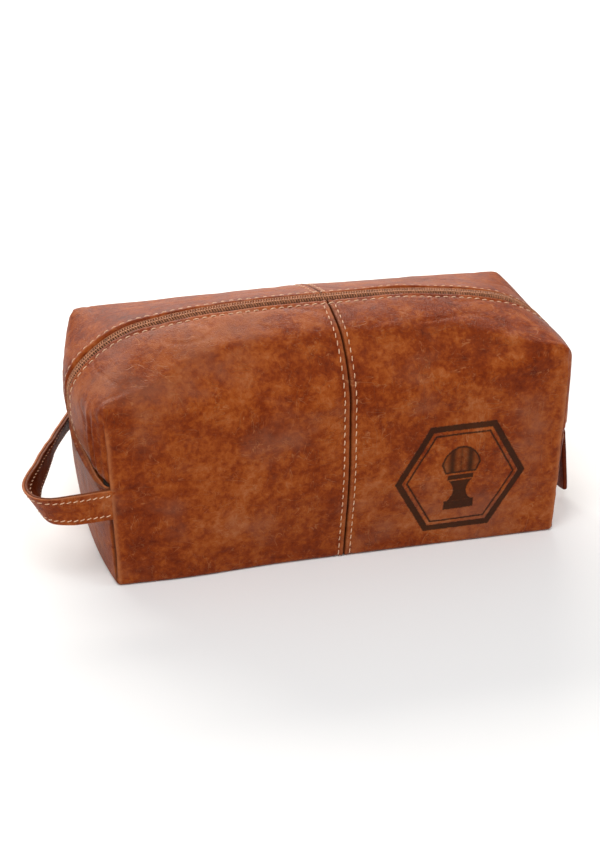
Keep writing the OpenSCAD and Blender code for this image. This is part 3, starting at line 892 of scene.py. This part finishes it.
for sideY, faceName in faceNames.items():
    stopY = zipEdge + inside["liningFromZip"]
    parts = []
    for sideX in (-1, 1):
        parts += plainUpper(sideX, sideY, inside["lining"], stopY, inside["fold"])
    lining = mergedPiece(f"{faceName}_lining", parts, liningCloth)
    thicken(lining, inside["liningThickness"])
    mouthBlend(lining)
    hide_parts(f"lining_{faceName}")
    tapeStrip(*cornerStrips((sideY,), inside["fold"] + 1, high - 18),
              f"{faceName}_corner_bindings", sideY, f"corner_bindings_{faceName}")
tapeStrip(*cornerStrips((-1, 1), 12, inside["fold"] - 1),
          "base_corner_bindings", "bag", "corner_bindings_base")
for sideX, sideName in sideNames.items():
    reachY = halfD - inside["bindingWidth"] - 2
    z, y = np.meshgrid(stations(50, 57.6, 2), stations(-reachY, reachY, 3), indexing="ij")
    p = np.stack([np.full_like(z, halfL) * sideX, y, z], -1)
    tapeStrip(skin(p, inside["binding"]), gridFaces(*z.shape, flip=sideX > 0),
              f"{sideName}_end_binding", "bag", f"end_binding_{sideName}")
print("lining made")

strap = {"width": 17.5, "thickness": 1.6, "z": 49.5, "rowFromEdge": 2.9, "pitch": 3.4, "threadLength": 2.7,
         "threadRadius": 0.30, "threadSlant": 0.95, "flexStart": -131.0, "flexEnd": -150.0}


def curveThrough(points, count):
    # a Catmull-Rom spline through the points, with even spacing along its length
    pts = np.asarray(points, float)
    pts = np.concatenate([2 * pts[:1] - pts[1:2], pts, 2 * pts[-1:] - pts[-2:-1]])
    out = []
    for k in range(1, len(pts) - 2):
        u = np.linspace(0, 1, 40, endpoint=k == len(pts) - 3)[:, None]
        a, b, c, d = pts[k - 1], pts[k], pts[k + 1], pts[k + 2]
        square, cube = 2 * a - 5 * b + 4 * c - d, 3 * b - a - 3 * c + d
        out.append(0.5 * (2 * b + (c - a) * u + square * u ** 2 + cube * u ** 3))
    line = np.concatenate(out)
    gaps = np.linalg.norm(np.diff(line, axis=0), axis=-1)
    length = np.concatenate([[0], np.cumsum(gaps)])
    s = np.linspace(0, length[-1], count)
    return np.stack([np.interp(s, length, line[:, k]) for k in range(3)], -1), s


# the loop's middle line: x, y, height offset
strapPath, strapRun = curveThrough([
    (-122.5, -53.0, 0.0), (-127.5, -53.8, 0.0), (-135, -54.0, -0.3), (-147, -53.6, -1.0),
    (-157.5, -51.6, -1.3), (-163.5, -46.6, -1.0), (-165.8, -38.5, -0.4), (-164.0, -29.0, 0.2),
    (-157.5, -10.5, 0.6), (-147.5, 13.5, 0.8), (-138.0, 34.5, 0.6), (-131.5, 47.5, 0.2),
    (-127.0, 54.0, 0.0), (-122.5, 55.5, 0.0)], 260)


def strapFrame(s):
    # the place on the loop's middle line at a length s, and the level direction outward
    centre = np.stack([np.interp(s, strapRun, strapPath[:, k]) for k in range(3)], -1)
    ahead = np.stack([np.interp(s + 0.5, strapRun, strapPath[:, k]) for k in range(3)], -1)
    behind = np.stack([np.interp(s - 0.5, strapRun, strapPath[:, k]) for k in range(3)], -1)
    along = (ahead - behind) * (1, 1, 0)
    along /= np.maximum(np.linalg.norm(along, axis=-1, keepdims=True), 1e-6)
    return centre, np.stack([-along[..., 1], along[..., 0], np.zeros(s.shape)], -1)


def strapPoint(s, v, n):
    # s along the loop, v across its width (up), n outward; the top edge leans out at the bend
    centre, out = strapFrame(s)
    lean = 0.52 * bump(s - 50, 17) - 0.30 * smooth((s - 78) / 50)
    up = np.stack([np.zeros(s.shape), np.zeros(s.shape), np.ones(s.shape)], -1)
    flat = np.stack([s, v, n * 0], -1)
    wave = 0.5 * waveNoise(flat, (17, 40, 50)) + 0.18 * softNoise(flat, 6)
    side = out * (n + wave + (v * lean))[..., None] + up * (v * (1 - lean * lean / 2))[..., None]
    base = centre * (1, 1, 0) + side
    base[..., 2] += strap["z"] + centre[..., 2]
    return base


def strapBlend(piece):
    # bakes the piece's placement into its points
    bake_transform(piece)


def roundedSection(half, inner, outer, radius, spacing=1.5):
    # outline of a flat band's section, counter-clockwise, with rounded corners
    corners = [(half - radius, outer - radius, 0), (radius - half, outer - radius, 90),
               (radius - half, inner + radius, 180), (half - radius, inner + radius, 270)]
    outline = []
    for v, n, start in corners:
        angle = np.radians(start + np.linspace(0, 90, 5))
        outline += list(zip(v + radius * np.cos(angle), n + radius * np.sin(angle)))
    outline = np.array(outline)
    dense = []
    for a, b in zip(outline, np.roll(outline, -1, axis=0)):
        count = max(1, int(np.hypot(*(b - a)) / spacing))
        dense += [a + (b - a) * k / count for k in range(count)]
    return np.array(dense)


def band(place, run, section):
    # a section carried along a run; both ends close as ladders of quads across the thin section
    n, m = len(run), len(section)
    grid = place(np.repeat(run[:, None], m, 1), np.repeat(section[None, :, 0], n, 0),
                 np.repeat(section[None, :, 1], n, 0))
    row, col = np.divmod(gridFaces(n, m + 1), m + 1)
    quads = [row * m + col % m]
    left, right = np.arange(m // 2), m - 1 - np.arange(m // 2)
    ladder = np.stack([left[:-1], left[1:], right[1:], right[:-1]], 1)
    return grid, np.concatenate(quads + [ladder, ladder[:, ::-1] + (n - 1) * m])


def strapLayer(name, inner, outer, nodes, material):
    half = strap["width"] / 2
    section = roundedSection(half, inner, outer, 0.6)
    grid, quads = band(strapPoint, strapRun, section)
    edgeWear = 0.8 * smooth((np.abs(section[:, 0]) / half - 0.93) / 0.07)
    worn = np.repeat(edgeWear[None, :], len(strapRun), 0)
    piece = makePiece(name, grid, quads, material, attributes={"worn": worn, "crevice": worn * 0})
    strapBlend(piece)
    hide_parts(*nodes)


strapLayer("strap_outer_leather", 0.04, strap["thickness"], ["strap_outer", "strap_ends"], strapLeather)
# the inner layer takes the darkened copy, a painted shade
strapLayer("strap_inner_leather", -strap["thickness"], -0.04, ["strap_inner"], strapShadedLeather)


def strapStitches():
    # two rows on each face of the strap, each thread slanting across its row
    parts = []
    u = np.linspace(-1, 1, 7)
    count = int((strapRun[-1] - 10) // strap["pitch"])
    middle = 5 + (np.arange(count) + 0.5) * strap["pitch"]
    s = middle[:, None] + u[None, :] * strap["threadLength"] / 2
    for side in (-1, 1):
        for sign in (-1, 1):
            v = side * (strap["width"] / 2 - strap["rowFromEdge"])
            v = v - u[None, :] * strap["threadSlant"] / 2 + s * 0
            lift = (strap["thickness"] + 0.12 - 0.55 * np.abs(u) ** 3)[None, :] + s * 0
            centres = strapPoint(s, v, sign * lift)
            outward = strapPoint(s, v, sign * (lift + 1)) - centres
            parts.append(sweep(centres, outward, strap["threadRadius"] * np.sqrt(1 - 0.5 * np.abs(u) ** 4)))
    strapBlend(makePiece("strap_stitching", *joinPlain(parts), thread))


strapStitches()
print("strap made")

for node in ("slider_body", "slider_bridge", "pull_ring"):
    cad = bpy.data.objects[node]
    cad.data.materials.clear()
    cad.data.materials.append(brass)

pull = {"lean": math.radians(14.4), "barDrop": 9.0, "tabTop": 32.5, "tabLength": 37.0, "tabWidth": 11.0,
        "tabThickness": 2.4, "thongWidth": 3.2, "thongThickness": 1.25, "knotDrop": 27.3}
ringCentre = np.array(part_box("pull_ring")).reshape(2, 3).mean(0) * 1000
down = np.array([0, -math.sin(pull["lean"]), -math.cos(pull["lean"])])
wide = np.array([0, math.cos(pull["lean"]), -math.sin(pull["lean"])])
thick = np.array([1.0, 0, 0])
hinge = ringCentre - down * pull["barDrop"] / 2


def hang(drop, v, n):
    # a place on the hanging pull: drop below its hinge, v across, n through its thickness
    return hinge + drop[..., None] * down + v[..., None] * wide + n[..., None] * thick


def pullPiece(name, points, quads, node):
    piece = makePiece(name, points, quads, pullLeather)
    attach(piece, "leather_pull")
    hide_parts(node)


def tabPlace(s, v, n):
    # a flat tongue with rounded corners that curls a little
    fromEnd = np.minimum(s, pull["tabLength"] - s)
    corner, half = 1.6, pull["tabWidth"] / 2
    inset = corner - np.sqrt(np.clip(corner ** 2 - np.clip(corner - fromEnd, 0, corner) ** 2, 0, None))
    neck = 1.5 * (1 - smooth(s / 3))
    squeeze = (half - inset - neck) / half
    rim = np.clip(fromEnd / 0.8, 0.35, 1)
    wave = 0.35 * waveNoise(np.stack([s, v, 0 * s], -1), (14, 7, 9))
    curl = 0.5 * (s / pull["tabLength"]) ** 2 + wave * smooth(s / 6)
    return hang(pull["tabTop"] + s, v * squeeze, n * rim + curl)


halfTab, halfThong = pull["tabThickness"] / 2, pull["thongThickness"] / 2
section = roundedSection(pull["tabWidth"] / 2, -halfTab, halfTab, 0.7, 0.9)
endRun = pull["tabLength"] - 2
run = np.concatenate([np.linspace(0, 2, 8), np.linspace(2, endRun, 40)[1:-1],
                      np.linspace(endRun, endRun + 2, 8)])
pullPiece("pull_tab_leather", *band(tabPlace, run, section), "pull_tab")

# the thong goes down one leg, round the ring's lower bar and back up the other
turn = np.linspace(0, np.pi, 15)
legDrop = np.linspace(pull["tabTop"] + 1, pull["barDrop"] + 0.6, 26)
bow = 0.55 * np.sin(np.pi * np.clip((legDrop - pull["barDrop"]) / 16, 0, 1))
legX = 0.85 + bow * (legDrop < pull["knotDrop"])
thongX = np.concatenate([legX, 1.35 * np.cos(turn)[1:-1], -legX[::-1]])
thongDrop = np.concatenate([legDrop, pull["barDrop"] - 1.35 * np.sin(turn)[1:-1] + 0.3, legDrop[::-1]])
thongRun = np.concatenate([[0], np.cumsum(np.hypot(np.diff(thongX), np.diff(thongDrop)))])


def thongPlace(s, v, n):
    # s along the thong, v across it, n off its middle line
    x, drop = np.interp(s, thongRun, thongX), np.interp(s, thongRun, thongDrop)
    tx = np.interp(s + 0.3, thongRun, thongX) - np.interp(s - 0.3, thongRun, thongX)
    td = np.interp(s + 0.3, thongRun, thongDrop) - np.interp(s - 0.3, thongRun, thongDrop)
    size = np.maximum(np.hypot(tx, td), 1e-6)
    return hang(drop + n * tx / size, v, x - n * td / size)


section = roundedSection(pull["thongWidth"] / 2, -halfThong, halfThong, 0.4, 0.8)
pullPiece("pull_thong_leather", *band(thongPlace, np.linspace(0, thongRun[-1], 90), section), "pull_thong")

# the knot: two rising turns round both legs, with a short pointed tail
angle = np.linspace(0, 4.4 * np.pi, 90)
tail = smooth((angle - 3.6 * np.pi) / (0.8 * np.pi))
knotRadius = np.stack([2.35 + 0.9 * tail, 2.75 + 1.6 * tail], -1)
knotLine = hang(pull["knotDrop"] + 1.5 - angle * 0.26 + 2.2 * tail, knotRadius[:, 1] * np.sin(angle),
                knotRadius[:, 0] * np.cos(angle))
knotOut = knotLine - hang(pull["knotDrop"] + 0 * angle, 0 * angle, 0 * angle)
knotThick = 1.15 * (1 - 0.75 * tail) * smooth(angle / 0.8 + 0.3)
pullPiece("pull_knot_leather", *sweep(knotLine[None], knotOut[None], knotThick, flat=0.75), "pull_knot")
print("pull made")

tree = Tree("studio_floor")
place = tree.add("ShaderNodeTexCoord", None, None, 3)
floorTone = tree.mix(tree.noise(place, 3, 2) * 0.02, (0.86, 0.86, 0.86), (0.80, 0.80, 0.80))
floorMaterial = tree.finish(floorTone, 0.85)
floorMesh = bpy.data.meshes.new("floor")
floorMesh.from_pydata([(-6, -6, 0), (6, -6, 0), (6, 6, 0), (-6, 6, 0)], [], [(0, 1, 2, 3)])
floor = bpy.data.objects.new("floor", floorMesh)
floor.data.materials.append(floorMaterial)
bpy.context.scene.collection.objects.link(floor)

world = bpy.data.worlds.new("studio")
world.use_nodes = True
world.node_tree.nodes["Background"].inputs["Color"].default_value = (1.0, 1.0, 1.0, 1)
world.node_tree.nodes["Background"].inputs["Strength"].default_value = 0.45
bpy.context.scene.world = world


def softLight(name, at, target, size, watts, tint=(1, 1, 1)):
    # a rectangular lamp that faces a target
    data = bpy.data.lights.new(name, "AREA")
    data.shape, data.size, data.size_y = "RECTANGLE", size[0], size[1]
    data.energy, data.color = watts, tint
    lamp = bpy.data.objects.new(name, data)
    lamp.location = at
    lamp.rotation_euler = (Vector(target) - Vector(at)).to_track_quat("-Z", "Y").to_euler()
    bpy.context.scene.collection.objects.link(lamp)


softLight("key", (-0.45, -0.75, 1.35), (0, 0, 0.06), (0.9, 0.7), 13)
softLight("top_back", (-0.1, 1.25, 0.85), (0, 0, 0.1), (1.7, 0.5), 27, (1, 0.95, 0.87))
softLight("fill_right", (1.0, -0.5, 0.75), (0, 0, 0.06), (0.6, 0.6), 3)

shot = {"yaw": math.radians(-16.38), "pitch": math.radians(27.28), "roll": math.radians(1.62),
        "distance": 1.119, "target": (-0.0097, 0.0, 0.0573), "lens": 85.2}
level = math.cos(shot["pitch"])
back = Vector((math.sin(shot["yaw"]) * level, -math.cos(shot["yaw"]) * level, math.sin(shot["pitch"])))
right = (-back).cross(Vector((0, 0, 1))).normalized()
upward = right.cross(-back)
rightTilted = math.cos(shot["roll"]) * right + math.sin(shot["roll"]) * upward
upTilted = -math.sin(shot["roll"]) * right + math.cos(shot["roll"]) * upward
lensData = bpy.data.cameras.new("camera")
lensData.lens, lensData.sensor_width = shot["lens"], 36
camera = bpy.data.objects.new("camera", lensData)
pose = Matrix((rightTilted, upTilted, back)).transposed().to_4x4()
pose.translation = Vector(shot["target"]) + back * shot["distance"]
camera.matrix_world = pose
bpy.context.scene.collection.objects.link(camera)
bpy.context.scene.camera = camera
bpy.context.scene.view_settings.view_transform = "Standard"
print("stage made")
